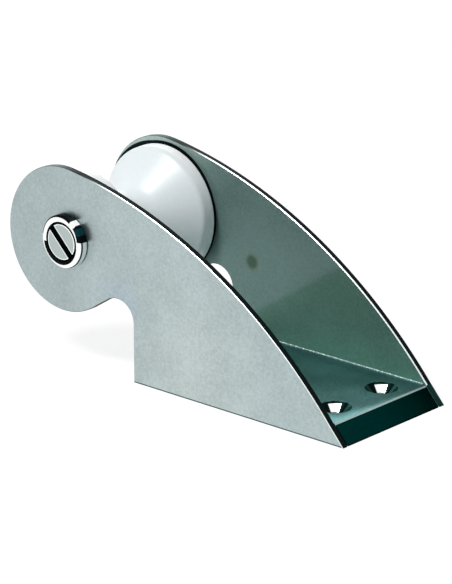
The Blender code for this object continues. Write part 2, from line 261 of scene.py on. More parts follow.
def make_grain_group():
    """Blasted or turned surface: a colour with fine grain and slow mottling, its roughness and height."""
    inputs = (
        ("Color", "Color", (0.5, 0.5, 0.5, 1)),
        ("Roughness", "Float", 0.4),
        ("Grain size", "Float", 0.0006),
        ("Contrast", "Float", 0.1),
    )
    group, given, out = start_group(
        "grain", inputs, (("Color", "Color"), ("Roughness", "Float"), ("Height", "Float"))
    )
    grain = add_noise(group, calculate(group, "DIVIDE", 1, given["Grain size"]), GRAIN_DETAIL)
    mottle = add_noise(group, MOTTLE_SCALE, MOTTLE_DETAIL)
    blend = calculate(group, "MULTIPLY_ADD", mottle, MOTTLE_SHARE, grain)
    uneven = calculate(group, "SUBTRACT", blend, NOISE_MEAN * (1 + MOTTLE_SHARE))
    factor = calculate(group, "MULTIPLY_ADD", uneven, given["Contrast"], 1)
    tint = add_node(group, "VectorMath", operation="SCALE")
    group.links.new(given["Color"], tint.inputs[0])
    group.links.new(factor, tint.inputs["Scale"])
    group.links.new(tint.outputs[0], out["Color"])
    group.links.new(calculate(group, "MULTIPLY", given["Roughness"], factor), out["Roughness"])
    group.links.new(grain, out["Height"])
    return group


grain_group = make_grain_group()


def start_material(name, metallic):
    material = bpy.data.materials.new(name)
    material.use_nodes = True
    shader = material.node_tree.nodes["Principled BSDF"]
    shader.inputs["Metallic"].default_value = metallic
    return material, material.node_tree, shader


def add_grain(tree, shader, color, roughness, grain_values):
    """The grain group, between a colour and the shader. The colour is a triple or a socket."""
    grain_size, contrast, bump_height = grain_values
    grain = tree.nodes.new("ShaderNodeGroup")
    grain.node_tree = grain_group
    grain.inputs["Roughness"].default_value = roughness
    grain.inputs["Grain size"].default_value = grain_size
    grain.inputs["Contrast"].default_value = contrast
    if isinstance(color, bpy.types.NodeSocket):
        tree.links.new(color, grain.inputs["Color"])
    else:
        grain.inputs["Color"].default_value = (*color, 1)
    tree.links.new(grain.outputs["Color"], shader.inputs["Base Color"])
    tree.links.new(grain.outputs["Roughness"], shader.inputs["Roughness"])
    bump = add_node(tree, "Bump")
    bump.inputs["Distance"].default_value = bump_height
    tree.links.new(grain.outputs["Height"], bump.inputs["Height"])
    tree.links.new(bump.outputs[0], shader.inputs["Normal"])


def split_place(tree, offset=Vector((0, 0, 0)), turn=(0, 0, 0)):
    """X, Y and Z sockets of the place on the object, measured from a point and turned."""
    mapping = add_node(tree, "Mapping", vector_type="TEXTURE")
    mapping.inputs["Location"].default_value = offset
    mapping.inputs["Rotation"].default_value = turn
    tree.links.new(object_place(tree), mapping.inputs["Vector"])
    split = add_node(tree, "SeparateXYZ")
    tree.links.new(mapping.outputs[0], split.inputs[0])
    return split.outputs


def length_of(tree, first, second):
    squares = calculate(tree, "ADD", calculate(tree, "POWER", first, 2), calculate(tree, "POWER", second, 2))
    return calculate(tree, "SQRT", squares)


def distance_from(tree, line_through):
    """Distance from the line along Y through that point."""
    x, _, z = split_place(tree, line_through)
    return length_of(tree, x, z)


def fade(tree, value, start, end):
    """0 before the start, 1 after the end, and a smooth step between them."""
    step = add_node(tree, "MapRange", interpolation_type="SMOOTHSTEP")
    step.inputs["From Min"].default_value = start
    step.inputs["From Max"].default_value = end
    tree.links.new(value, step.inputs["Value"])
    return step.outputs[0]


def below(tree, value, limit):
    return calculate(tree, "LESS_THAN", value, limit)


def above(tree, value, limit):
    return calculate(tree, "GREATER_THAN", value, limit)


def both(tree, first, second):
    return calculate(tree, "MULTIPLY", first, second)


def either(tree, first, second):
    return calculate(tree, "MAXIMUM", first, second)


def mix_colors(tree, factor, first, second):
    """The first colour where the factor is 0, the second where it is 1. Colours are triples or sockets."""
    mix = add_node(tree, "Mix", data_type="RGBA")
    tree.links.new(factor, mix.inputs["Factor"])
    for socket, color in ((mix.inputs[6], first), (mix.inputs[7], second)):
        if isinstance(color, bpy.types.NodeSocket):
            tree.links.new(color, socket)
        else:
            socket.default_value = (*color, 1)
    return mix.outputs[2]


def mix_values(tree, factor, first, second):
    apart = calculate(tree, "SUBTRACT", second, first)
    return calculate(tree, "MULTIPLY_ADD", factor, apart, first)


def on_nose(tree):
    return fade(tree, split_place(tree)[0], *NOSE_FADE)


def outer_face_color(tree):
    """Painted shade on the nose, a painted sheen low down behind the notch, and bluish round the notch."""
    lighter = fade(tree, distance_from(tree, SHEEN_PLACE), SHEEN_REACH, 0)
    face = mix_colors(tree, on_nose(tree), STEEL_OUTER, STEEL_OUTER_NOSE_SHADE)
    face = mix_colors(tree, lighter, face, STEEL_PAINTED_SHEEN)
    patchy = fade(tree, add_noise(tree, PATCH_SCALE, PATCH_DETAIL), *PATCH_RANGE)
    bluish = both(tree, fade(tree, distance_from(tree, BLUISH_PLACE), BLUISH_REACH, 0), patchy)
    return mix_colors(tree, bluish, face, STEEL_BLUISH)


def inner_face_color(tree):
    """Painted shade, with painted light towards the nose and more painted shade aft of a slanting line, a
    heat spot and a painted shadow round the roller's end.
    """
    turned = split_place(tree, SHADE_ON, (0, -SHADE_SLOPE, 0))
    under_line = fade(tree, turned[2], SHADE_BLEND, -SHADE_BLEND)
    face = mix_colors(tree, on_nose(tree), STEEL_INNER_SHADED, STEEL_INNER_NOSE_LIT)
    face = mix_colors(tree, under_line, face, STEEL_INNER_SHADED_AFT)
    spot = distance_from(tree, HEAT_SPOT)
    face = mix_colors(tree, fade(tree, spot, *HEAT_SPOT_RIM), face, HEAT_SPOT_EDGE)
    face = mix_colors(tree, fade(tree, spot, *HEAT_SPOT_MIDDLE), face, HEAT_SPOT_CORE)
    # painted shadow round the roller's end
    first_outside, second_outside = (
        calculate(tree, "SUBTRACT", distance_from(tree, centre), radius) for centre, radius in ROLLER_SHADOW_DISCS
    )
    outside = calculate(tree, "MINIMUM", first_outside, second_outside)
    return mix_colors(tree, fade(tree, outside, ROLLER_SHADOW_BLEND, -ROLLER_SHADOW_BLEND), face, ROLLER_SHADOW)


def cheek_steel():
    """The colour follows the depth in the plate: outer face, cut painted black with a painted highlight on
    its corners, inner face.
    """
    material, tree, shader = start_material("blasted stainless", 1.0)
    shader.inputs["Specular IOR Level"].default_value = DULL_GLOSS
    x, y, z = split_place(tree)
    is_far = above(tree, y, 0)
    depth = calculate(tree, "SUBTRACT", CHEEK_FACE, calculate(tree, "ABSOLUTE", y))
    on_outer = below(tree, depth, SKIN)
    on_inner = above(tree, depth, CHEEK_THICKNESS - SKIN)
    on_arch = either(tree, above(tree, z, NOSE_CENTRE.z), above(tree, x, BASE_FRONT + PLATE_CHAMFER))
    # painted highlight along the arch's corners, which are left as metal
    shining = both(tree, fade(tree, x, *ARCH_HIGHLIGHT), on_arch)
    highlight_inside = both(tree, above(tree, depth, CHEEK_THICKNESS - INNER_HIGHLIGHT), is_far)
    highlight_outside = both(tree, below(tree, depth, OUTER_HIGHLIGHT), below(tree, y, 0))
    highlighted = both(tree, either(tree, highlight_outside, highlight_inside), shining)
    # the cut is painted black as a dark reflection, lighter on the arch towards the nose
    color = mix_colors(tree, both(tree, fade(tree, x, *CUT_FADE), on_arch), STEEL_PAINTED_DARK, STEEL_PAINTED_DARK_NOSE)
    color = mix_colors(tree, highlighted, color, STEEL_CHAMFER_HIGHLIGHT)
    # the far cheek's rear slope is painted dark as a dark reflection
    on_far_slope = both(tree, above(tree, x, SLOPE_START), is_far)
    color = mix_colors(tree, on_far_slope, color, STEEL_SLOPE_PAINTED_DARK)
    # painted shade line along the bottom of the outer faces
    outer_face = mix_colors(tree, below(tree, z, FOOT_SHADE_HEIGHT), outer_face_color(tree), STEEL_FOOT_SHADE)
    color = mix_colors(tree, on_outer, color, outer_face)
    color = mix_colors(tree, on_inner, color, inner_face_color(tree))
    metallic = either(tree, either(tree, highlighted, on_far_slope), on_outer)
    metallic = mix_values(tree, on_inner, metallic, INNER_METALLIC)
    tree.links.new(metallic, shader.inputs["Metallic"])
    add_grain(tree, shader, color, STEEL_ROUGHNESS, STEEL_GRAIN)
    return material


def finish_node(name, material):
    piece = frame["nodes"][name]
    piece.data.materials.clear()
    piece.data.materials.append(material)


cheek_material = cheek_steel()
finish_node("near_cheek", cheek_material)
finish_node("far_cheek", cheek_material)

# Base plate
# The thick stainless floor between the cheeks. Its rear end is cut at a slope down to the deck and painted
# dark as a dark reflection. Four holes are drilled and countersunk through it for the deck screws, each
# painted in shade, with a painted reflection on the side of each countersink that faces aft.
REAR_BEVEL_RUN = 0.0057
CHAMFER_SEGMENTS = 2
HOLE_PITCH_X = 0.060
HOLE_PITCH_Y = 0.0236
HOLE_RADIUS = 0.0028
COUNTERSINK_RADIUS = 0.0055
TOP_SHADE_WIDTH = 0.0006  # of the painted dark line at the top of each countersink
HOLE_SIDES = 96
DRILL_OVER = 0.002  # how far the drill reaches past the floor
# painted reflection on the side of each countersink that faces aft
REFLECTION_TOWARDS = math.radians(131)  # from +X, seen from above
REFLECTION_EDGE = (math.radians(27.3), math.radians(24.7))  # to each side, where it starts and is full
REFLECTION_SHADE_EDGE = (math.radians(67.2), math.radians(48))  # the same for the band of painted shade round it
FLOOR_ROUGHNESS = 0.34
FLOOR_GRAIN = (0.0009, 0.6, 0.00001)
FLOOR_TINT = 0.2  # of the light that grazes the floor, which is dull
SMOOTH_BELOW = math.radians(30)
SLOPE_CORNER_HIGHLIGHT = 0.00025  # half the width of the painted highlight along the corner where the slope starts
STEEL_FLOOR = (0.27, 0.53, 0.53)
# painted highlight along the corner above the slope
STEEL_CORNER_HIGHLIGHT = (0.33, 0.43, 0.42)
# painted shade down the countersinks, and the painted reflection on them
STEEL_COUNTERSINK_SHADE = (0.06, 0.17, 0.15)
STEEL_PAINTED_REFLECTION = (0.98, 1.0, 0.99)

base_low, base_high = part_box("base_plate")


def start_piece(name, add_primitive, **size):
    """A new mesh primitive, alone in the selection and in edit mode, with its place in its mesh."""
    bpy.ops.object.select_all(action="DESELECT")
    add_primitive(**size)
    piece = bpy.context.object
    piece.name = name
    bpy.ops.object.transform_apply(location=True, rotation=True, scale=True)
    bpy.ops.object.mode_set(mode="EDIT")
    return piece


def select_where(piece, test):
    """Selects the vertices whose place passes the test, and the edges and faces between them."""
    bpy.ops.mesh.select_mode(type="VERT")
    bpy.ops.mesh.select_all(action="DESELECT")
    mesh = bmesh.from_edit_mesh(piece.data)
    for vert in mesh.verts:
        vert.select = test(vert.co)
    mesh.select_flush(True)
    bmesh.update_edit_mesh(piece.data)


def apply_modifier(piece, kind, **settings):
    modifier = piece.modifiers.new(kind.title(), kind)
    for name, value in settings.items():
        setattr(modifier, name, value)
    bpy.ops.object.select_all(action="DESELECT")
    piece.select_set(True)
    bpy.context.view_layer.objects.active = piece
    bpy.ops.object.modifier_apply(modifier=modifier.name)


def cut_with(piece, cutter, operation="DIFFERENCE"):
    apply_modifier(piece, "BOOLEAN", object=cutter, operation=operation)
    bpy.data.objects.remove(cutter)


def turn_piece(name, profile, sides, closed=False, centre_at=None):
    """A piece turned round Z from (radius, height) points: a circle, extruded and scaled at each step.
    Where `centre_at` is given, it tells how far off the axis in X and Y the ring at a height lies."""
    radius, height = profile[0]
    piece = start_piece(
        name, bpy.ops.mesh.primitive_circle_add, vertices=sides, radius=radius, location=(0, 0, height)
    )
    centre = Vector((0, 0, height))
    for (last_radius, _), (radius, height) in zip(profile, profile[1:]):
        last_centre = centre
        centre = Vector((*(centre_at(height) if centre_at else (0, 0)), height))
        bpy.ops.mesh.extrude_edges_move(TRANSFORM_OT_translate={"value": centre - last_centre})
        share = radius / last_radius
        bpy.ops.transform.resize(value=(share, share, 1), center_override=centre)
    bpy.ops.mesh.select_all(action="DESELECT")
    bpy.ops.mesh.select_non_manifold()
    if closed:
        bpy.ops.mesh.bridge_edge_loops()
    else:
        bpy.ops.mesh.fill_holes(sides=0)
    bpy.ops.mesh.select_all(action="SELECT")
    bpy.ops.mesh.normals_make_consistent(inside=False)
    bpy.ops.object.mode_set(mode="OBJECT")
    return piece


def place_piece(piece, place, turn=(0, 0, 0)):
    bpy.ops.object.select_all(action="DESELECT")
    piece.select_set(True)
    bpy.context.view_layer.objects.active = piece
    piece.rotation_euler = turn
    piece.location = place
    bpy.ops.object.transform_apply(location=True, rotation=True, scale=True)


def finish_piece(piece, body, material, slot, *nodes):
    """Smooth shading up to a sharp edge, the material, and the CAD nodes that the piece stands for."""
    bpy.ops.object.select_all(action="DESELECT")
    piece.select_set(True)
    bpy.context.view_layer.objects.active = piece
    bpy.ops.object.shade_smooth_by_angle(angle=SMOOTH_BELOW)
    piece.data.materials.clear()
    piece.data.materials.append(material)
    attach(piece, body)
    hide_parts(*nodes)


def hole_color(tree, plate, x, y):
    """Countersinks painted in greenish shade, with a painted reflection sector between two bands of painted
    shade, and a painted dark line at the top.
    """
    aft = calculate(tree, "SUBTRACT", calculate(tree, "ABSOLUTE", x), HOLE_PITCH_X / 2)
    side = calculate(tree, "SUBTRACT", calculate(tree, "ABSOLUTE", y), HOLE_PITCH_Y / 2)
    from_hole = length_of(tree, aft, side)
    aft = both(tree, aft, calculate(tree, "SIGN", x))
    side = both(tree, side, calculate(tree, "SIGN", y))
    along = calculate(
        tree, "MULTIPLY_ADD", aft, math.cos(REFLECTION_TOWARDS), both(tree, side, math.sin(REFLECTION_TOWARDS))
    )
    cosine = calculate(tree, "DIVIDE", along, from_hole)
    dark, painted_reflection = (
        fade(tree, cosine, *(math.cos(angle) for angle in edge)) for edge in (REFLECTION_SHADE_EDGE, REFLECTION_EDGE)
    )
    ring = mix_colors(tree, dark, STEEL_COUNTERSINK_SHADE, STEEL_PAINTED_DARK)
    wall = mix_colors(tree, painted_reflection, ring, STEEL_PAINTED_REFLECTION)
    color = mix_colors(tree, below(tree, from_hole, COUNTERSINK_RADIUS), plate, ring)
    return mix_colors(tree, below(tree, from_hole, COUNTERSINK_RADIUS - TOP_SHADE_WIDTH), color, wall)


def floor_steel():
    """Painted dark on the rear slope as a dark reflection, with a painted highlight along the corner above
    it, and painted reflection and shade down the four holes.
    """
    material, tree, shader = start_material("floor stainless", 1.0)
    shader.inputs["Specular Tint"].default_value = (FLOOR_TINT, FLOOR_TINT, FLOOR_TINT, 1)
    x, y, z = split_place(tree)
    color = mix_colors(tree, above(tree, x, SLOPE_START), STEEL_FLOOR, STEEL_SLOPE_PAINTED_DARK)
    # the floor's bottom edge is painted dark as shade
    color = mix_colors(tree, below(tree, z, 2 * PLATE_CHAMFER), color, STEEL_PAINTED_DARK)
    # painted highlight along the corner above the slope
    from_corner = calculate(tree, "ABSOLUTE", calculate(tree, "SUBTRACT", x, SLOPE_START))
    color = mix_colors(tree, below(tree, from_corner, SLOPE_CORNER_HIGHLIGHT), color, STEEL_CORNER_HIGHLIGHT)
    add_grain(tree, shader, hole_color(tree, color, x, y), FLOOR_ROUGHNESS, FLOOR_GRAIN)
    return material


base_plate = start_piece(
    "floor_plate", bpy.ops.mesh.primitive_cube_add, size=1, location=(base_low + base_high) / 2,
    scale=base_high - base_low,
)
select_where(base_plate, lambda place: place.x > 0 and place.z > base_high.z / 2)
bpy.ops.transform.translate(value=(-REAR_BEVEL_RUN, 0, 0))
bpy.ops.mesh.select_all(action="SELECT")
bpy.ops.mesh.bevel(offset=PLATE_CHAMFER, segments=CHAMFER_SEGMENTS, affect="EDGES")
bpy.ops.object.mode_set(mode="OBJECT")
drill_profile = [
    (HOLE_RADIUS, -DRILL_OVER),
    (HOLE_RADIUS, base_high.z - (COUNTERSINK_RADIUS - HOLE_RADIUS)),
    (COUNTERSINK_RADIUS + DRILL_OVER, base_high.z + DRILL_OVER),
]
for aft in (-1, 1):
    for side in (-1, 1):
        drill = turn_piece("drill", drill_profile, HOLE_SIDES)
        place_piece(drill, (aft * HOLE_PITCH_X / 2, side * HOLE_PITCH_Y / 2, 0))
        cut_with(base_plate, drill)
finish_piece(base_plate, "channel", floor_steel(), "brushed_stainless", "base_plate")

# Weld beads
# A thin run of weld along each inside corner of the floor, left bright. It was laid in short steps, which
# show as ripples.
BEAD_RADIUS = 0.00042
BEAD_STEP = 0.0011  # length of one ripple
BEAD_RINGS = 7  # along one ripple
BEAD_SIDES = 14
BEAD_RIPPLE = 0.10
RIPPLE_FULLNESS = 0.6  # the exponent that makes a ripple rounder than a sine wave
RIPPLE_LEVEL = 0.6
BEAD_WANDER = 0.10
BEAD_END = 0.5  # of the bead's radius, at its two ends
WELD_METAL = (0.34, 0.44, 0.42)
WELD_ROUGHNESS = 0.42
WELD_GRAIN = (0.0012, 0.5, 0.00003)


def bead_profile(length, seed):
    """Radius and place along the bead. Each ripple is a little thicker or thinner than the last."""
    wander = random.Random(seed)
    count = round(length / BEAD_STEP)
    points = []
    for ripple in range(count):
        size = BEAD_RADIUS * (1 + wander.uniform(-BEAD_WANDER, BEAD_WANDER))
        for ring in range(BEAD_RINGS):
            part = ring / BEAD_RINGS
            swell = 1 + BEAD_RIPPLE * (math.sin(math.pi * part) ** RIPPLE_FULLNESS - RIPPLE_LEVEL)
            points.append((size * swell, (ripple + part) * length / count))
    points[0] = (points[0][0] * BEAD_END, 0)
    points.append((BEAD_RADIUS * BEAD_END, length))
    return points


def bead_metal():
    material, tree, shader = start_material("weld metal", 1.0)
    add_grain(tree, shader, WELD_METAL, WELD_ROUGHNESS, WELD_GRAIN)
    return material


weld_metal = bead_metal()
for name, side, seed in (("near_weld_bead", -1, 3), ("far_weld_bead", 1, 5)):
    low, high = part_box(name)
    bead = turn_piece(name + "_run", bead_profile(high.x - low.x, seed), BEAD_SIDES)
    corner = Vector((low.x, side * (CHEEK_FACE - CHEEK_THICKNESS), base_high.z))
    place_piece(bead, corner, (0, math.pi / 2, 0))
    finish_piece(bead, "channel", weld_metal, "weld_metal", name)

# Roller
# Turned from white nylon: a narrow rim at each end, a rounded shoulder, a conical flank and a hollow waist
# for the chain. The rims carry painted light, with a painted highlight line along each corner.
RIM_WIDTH = 0.0042
RIM_DROP = 0.0001
SHOULDER_RADIUS = 0.003
WAIST_RADIUS = 0.0103
ROOT_RADIUS = 0.0094
RIM_EDGE_RADIUS = 0.0012
BORE_RADIUS = 0.0071
BORE_CHAMFER = 0.0008
ROOT_STEPS = 16
SHOULDER_STEPS = 14
EDGE_STEPS = 8
ROLLER_SIDES = 160
NYLON = (0.79, 0.85, 0.87)
# painted light on the rims, and painted highlight lines
NYLON_RIM_LIT = (0.92, 0.97, 0.98)
NYLON_HIGHLIGHT = (0.98, 0.99, 1.0)
NYLON_HIGHLIGHT_WIDTH = 0.0006
NYLON_GLOSS = 0.6
NYLON_ROUGHNESS = 0.38
NYLON_GRAIN = (0.0012, 0.08, 0.000004)
NYLON_SCATTER = 0.1
SCATTER_DEPTH = 0.003

roller_low, roller_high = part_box("roller")


def arc(centre, radius, start, end, steps):
    """(radius, height) points of an arc, from the start angle to the end angle."""
    turns = [start + (end - start) * i / steps for i in range(steps + 1)]
    return [(centre.x + radius * math.cos(turn), centre.y + radius * math.sin(turn)) for turn in turns]


def roller_profile():
    """From the bore's near end round the outside to its far end. `lean` is the flank's normal."""
    rim = (roller_high.z - roller_low.z) / 2
    end = roller_high.y
    shoulder = Vector((rim - RIM_DROP - SHOULDER_RADIUS, end - RIM_WIDTH))
    root = Vector((WAIST_RADIUS + ROOT_RADIUS, 0))
    apart = shoulder - root
    away = math.atan2(apart.y, apart.x)
    lean = away - math.acos(-(SHOULDER_RADIUS + ROOT_RADIUS) / apart.length)
    touch = lean + math.pi
    edge = Vector((rim - RIM_EDGE_RADIUS, end - RIM_EDGE_RADIUS))
    half = arc(root, ROOT_RADIUS, math.pi, touch, ROOT_STEPS)
    half += arc(shoulder, SHOULDER_RADIUS, lean, 0, SHOULDER_STEPS)
    half += arc(edge, RIM_EDGE_RADIUS, 0, math.pi / 2, EDGE_STEPS)
    half += [(BORE_RADIUS + BORE_CHAMFER, end), (BORE_RADIUS, end - BORE_CHAMFER)]
    return [(radius, -height) for radius, height in reversed(half)] + half[1:]


def nylon():
    """White, with painted light on the rims and a painted highlight line where each rim starts and along its
    outer corner.
    """
    material, tree, shader = start_material("white nylon", 0.0)
    shader.inputs["Subsurface Weight"].default_value = NYLON_SCATTER
    shader.inputs["Subsurface Radius"].default_value = (SCATTER_DEPTH, SCATTER_DEPTH, SCATTER_DEPTH)
    from_end = calculate(tree, "SUBTRACT", roller_high.y, calculate(tree, "ABSOLUTE", split_place(tree)[1]))
    on_rim = fade(tree, from_end, RIM_WIDTH + NYLON_HIGHLIGHT_WIDTH, RIM_WIDTH - NYLON_HIGHLIGHT_WIDTH)
    color = mix_colors(tree, on_rim, NYLON, NYLON_RIM_LIT)
    from_crease = calculate(tree, "ABSOLUTE", calculate(tree, "SUBTRACT", from_end, RIM_WIDTH))
    color = mix_colors(tree, fade(tree, from_crease, NYLON_HIGHLIGHT_WIDTH, 0), color, NYLON_HIGHLIGHT)
    on_edge = fade(tree, from_end, RIM_EDGE_RADIUS + NYLON_HIGHLIGHT_WIDTH, RIM_EDGE_RADIUS)
    color = mix_colors(tree, on_edge, color, NYLON_HIGHLIGHT)
    shader.inputs["Specular IOR Level"].default_value = NYLON_GLOSS
    add_grain(tree, shader, color, NYLON_ROUGHNESS, NYLON_GRAIN)
    return material


roller =turn_piece("nylon_roller", roller_profile(), ROLLER_SIDES, closed=True)
place_piece(roller, axle, (-math.pi / 2, 0, 0))
finish_piece(roller, "roller", nylon(), "white_nylon", "roller")

# Tube and thrust washers
# A plain stainless tube keeps the cheeks apart when the bolt is tightened, and the roller turns on it.
# A thin plastic washer at each end keeps the roller off the cheek.
BRIGHT_STEEL = (0.62, 0.66, 0.66)
POLISH_ROUGHNESS = 0.16
POLISH_GRAIN = (0.0008, 0.08, 0.000002)
ACETAL = (0.72, 0.73, 0.71)
ACETAL_ROUGHNESS = 0.45
PLASTIC_GRAIN = (0.0008, 0.06, 0.000004)


def bright_steel():
    material, tree, shader = start_material("bright stainless", 1.0)
    add_grain(tree, shader, BRIGHT_STEEL, POLISH_ROUGHNESS, POLISH_GRAIN)
    return material


def matte_plastic(name, color, roughness):
    material, tree, shader = start_material(name, 0.0)
    add_grain(tree, shader, color, roughness, PLASTIC_GRAIN)
    return material


bright_material = bright_steel()
finish_node("spacer_tube", bright_material)
acetal = matte_plastic("acetal", ACETAL, ACETAL_ROUGHNESS)
finish_node("near_thrust_washer", acetal)
finish_node("far_thrust_washer", acetal)

# Bolt
# A stainless bolt with a large pan head: a flat face with a screwdriver slot, a turned groove round it
# and a rounded rim. It goes in from the near side, and its thread ends outside the nut. The upper side of
# the head is painted black as a dark reflection, and the groove and slot black as painted shade, with painted
# highlights, a painted glint and a painted teal reflection on the rim.
SHANK_RADIUS = 0.005
HEAD_RADIUS = 0.0092
HEAD_HEIGHT = 0.0030
HEAD_SIDE = 0.0023
HEAD_ROUNDING = HEAD_HEIGHT - HEAD_SIDE
HEAD_CHAMFER = 0.0002
RIM_STEPS = 12
FACE_CENTRE = 0.0005  # radius of the flat in the middle of the face
FACE_RADIUS = 0.0061
GROOVE_OUTER = 0.0070
GROOVE_DEPTH = 0.0005
SLOT_WIDTH = 0.0025
SLOT_DEPTH = 0.0015
SLOT_ANGLE = math.radians(45)
THREAD_PITCH = 0.0015
THREAD_DEPTH = 0.0009
THREAD_RINGS = 12  # for each turn
THREAD_LENGTH = 0.0060
POINT_LENGTH = 0.0010
BOLT_SIDES = 96
HEAD_STEEL = (0.43, 0.50, 0.49)
# painted highlight on the head's corners, rim and glint
HEAD_HIGHLIGHT = (0.97, 0.99, 0.98)
HEAD_SIDE_STEEL = (0.90, 0.93, 0.93)
# painted dark: shade in the slot and groove, and dark reflection on the upper rim and side
HEAD_PAINTED_DARK = (0.002, 0.004, 0.004)
# painted teal reflection on the head's side
HEAD_TEAL_REFLECTION = (0.004, 0.038, 0.050)
HEAD_ROUGHNESS = 0.26
HEAD_GRAIN = (0.0008, 0.08, 0.000003)
FACE_MARGIN = 0.00005
SUNK_DEPTH = 0.00008  # below the face, from where the groove and the slot are painted black as shade
SEAT_MARGIN = 0.0001
HEAD_CORNER_HIGHLIGHT = 0.0004  # width of the painted highlight along the face's edge and the slot
GROOVE_SHADE = (Vector((-0.00055, 0, -0.00045)), 0.0076)  # painted shade over the groove's lower side: its centre from the axle, and its radius
GROOVE_SHADE_TOP = -0.0010  # height above the axle to which it reaches
# painted highlight ring round the groove: its centre from the axle, and its radius
HEAD_RING_HIGHLIGHT = (Vector((-0.00060, 0, 0.00050)), 0.0079)
RING_HIGHLIGHT_WIDTH = 0.0012  # of the painted highlight round the groove, below the part painted black
DARK_REFLECTION_FROM = 0.0013  # height above the axle from where the rim is painted black as a dark reflection
CORNER_SHADE_LINE = 0.0003  # width of the painted shade line along the rim's corner, below that
GLINT = (math.radians(54), 0.0086, 0.0012)  # painted glint: angle above +X, distance from the axle and radius
# painted teal reflection, given the same way
TEAL_REFLECTION = (math.radians(32), 0.0088, 0.0013)

bolt_low, bolt_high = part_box("axle_bolt")
head_face = bolt_low.y
head_seat = head_face + HEAD_HEIGHT
thread_start = bolt_high.y - THREAD_LENGTH
thread_sway = THREAD_DEPTH / 2


def thread_centre(height):
    """The thread is a round bar whose sections lie off the axis, each a little further round it."""
    into = (height - thread_start) / THREAD_PITCH
    sway = thread_sway * max(0, min(1, 2 * into, (bolt_high.y - height) / POINT_LENGTH))
    return sway * math.cos(math.tau * into), sway * math.sin(math.tau * into)


def bolt_profile():
    """From the slotted face round the rim, down the shank and along the thread to its point."""
    floor = head_face + GROOVE_DEPTH
    third = (GROOVE_OUTER - FACE_RADIUS) / 3
    points = [(FACE_CENTRE, head_face), (FACE_RADIUS, head_face)]
    points += [(FACE_RADIUS + third, floor), (GROOVE_OUTER - third, floor), (GROOVE_OUTER, head_face)]
    for i in range(1, RIM_STEPS + 1):
        turn = math.pi / 2 * i / RIM_STEPS
        radius = GROOVE_OUTER + (HEAD_RADIUS - GROOVE_OUTER) * math.sin(turn)
        points.append((radius, head_face + HEAD_ROUNDING * (1 - math.cos(turn))))
    points += [(HEAD_RADIUS, head_seat - HEAD_CHAMFER), (HEAD_RADIUS - HEAD_CHAMFER, head_seat)]
    points += [(SHANK_RADIUS, head_seat), (SHANK_RADIUS, thread_start)]
    rings = round(THREAD_LENGTH / THREAD_PITCH * THREAD_RINGS)
    for i in range(1, rings + 1):
        height = thread_start + THREAD_LENGTH * i / rings
        point = max(0, height - (bolt_high.y - POINT_LENGTH))
        points.append((SHANK_RADIUS - thread_sway - point / 2, height))
    return points


def spot_on_head(tree, angle, distance, radius):
    place = axle + Vector((math.cos(angle), 0, math.sin(angle))) * distance
    return below(tree, distance_from(tree, place), radius)


def opposite(tree, mask):
    return calculate(tree, "SUBTRACT", 1, mask)


def face_color(tree, x, z, radius):
    """Satin, with a painted highlight along its edge and the slot."""
    across = calculate(tree, "MULTIPLY_ADD", x, math.sin(SLOT_ANGLE), both(tree, z, math.cos(SLOT_ANGLE)))
    from_slot = calculate(tree, "SUBTRACT", calculate(tree, "ABSOLUTE", across), SLOT_WIDTH / 2)
    from_corner = calculate(tree, "MINIMUM", from_slot, calculate(tree, "SUBTRACT", FACE_RADIUS, radius))
    return mix_colors(tree, fade(tree, from_corner, HEAD_CORNER_HIGHLIGHT, HEAD_CORNER_HIGHLIGHT / 2), HEAD_STEEL, HEAD_HIGHLIGHT)


def rim_color(tree, y, z, radius):
    """A painted highlight round the groove and a painted dark reflection above, with a painted glint and a
    painted teal reflection. Its second result is the mask of what is dull: everything black, and on the
    head's side the spots too."""
    shade_offset, shade_radius = GROOVE_SHADE
    highlight_offset, highlight_radius = HEAD_RING_HIGHLIGHT
    from_groove = calculate(tree, "SUBTRACT", radius, GROOVE_OUTER)
    # painted shade over the groove and its lower side
    from_shade = calculate(tree, "SUBTRACT", distance_from(tree, axle + shade_offset), shade_radius)
    low = below(tree, z, GROOVE_SHADE_TOP)
    in_groove_shade = either(tree, below(tree, from_groove, 0), both(tree, low, below(tree, from_shade, 0)))
    by_groove = calculate(tree, "MINIMUM", from_groove, from_shade)
    shining = either(
        tree, both(tree, low, below(tree, by_groove, RING_HIGHLIGHT_WIDTH)),
        below(tree, distance_from(tree, axle + highlight_offset), highlight_radius),
    )
    from_rounding = calculate(tree, "SUBTRACT", y, HEAD_ROUNDING)
    on_side = above(tree, from_rounding, 0)
    on_corner = below(tree, calculate(tree, "ABSOLUTE", from_rounding), CORNER_SHADE_LINE)
    black = either(tree, above(tree, z, DARK_REFLECTION_FROM), on_corner)
    glint = spot_on_head(tree, *GLINT)
    teal = spot_on_head(tree, *TEAL_REFLECTION)
    rim = mix_colors(tree, black, HEAD_SIDE_STEEL, HEAD_PAINTED_DARK)
    rim = mix_colors(tree, teal, rim, HEAD_TEAL_REFLECTION)
    rim = mix_colors(tree, either(tree, glint, shining), rim, HEAD_HIGHLIGHT)
    rim = mix_colors(tree, in_groove_shade, rim, HEAD_PAINTED_DARK)
    dull = either(tree, black, both(tree, on_side, either(tree, glint, teal)))
    dull = both(tree, dull, either(tree, on_side, opposite(tree, shining)))
    return rim, either(tree, dull, in_groove_shade)


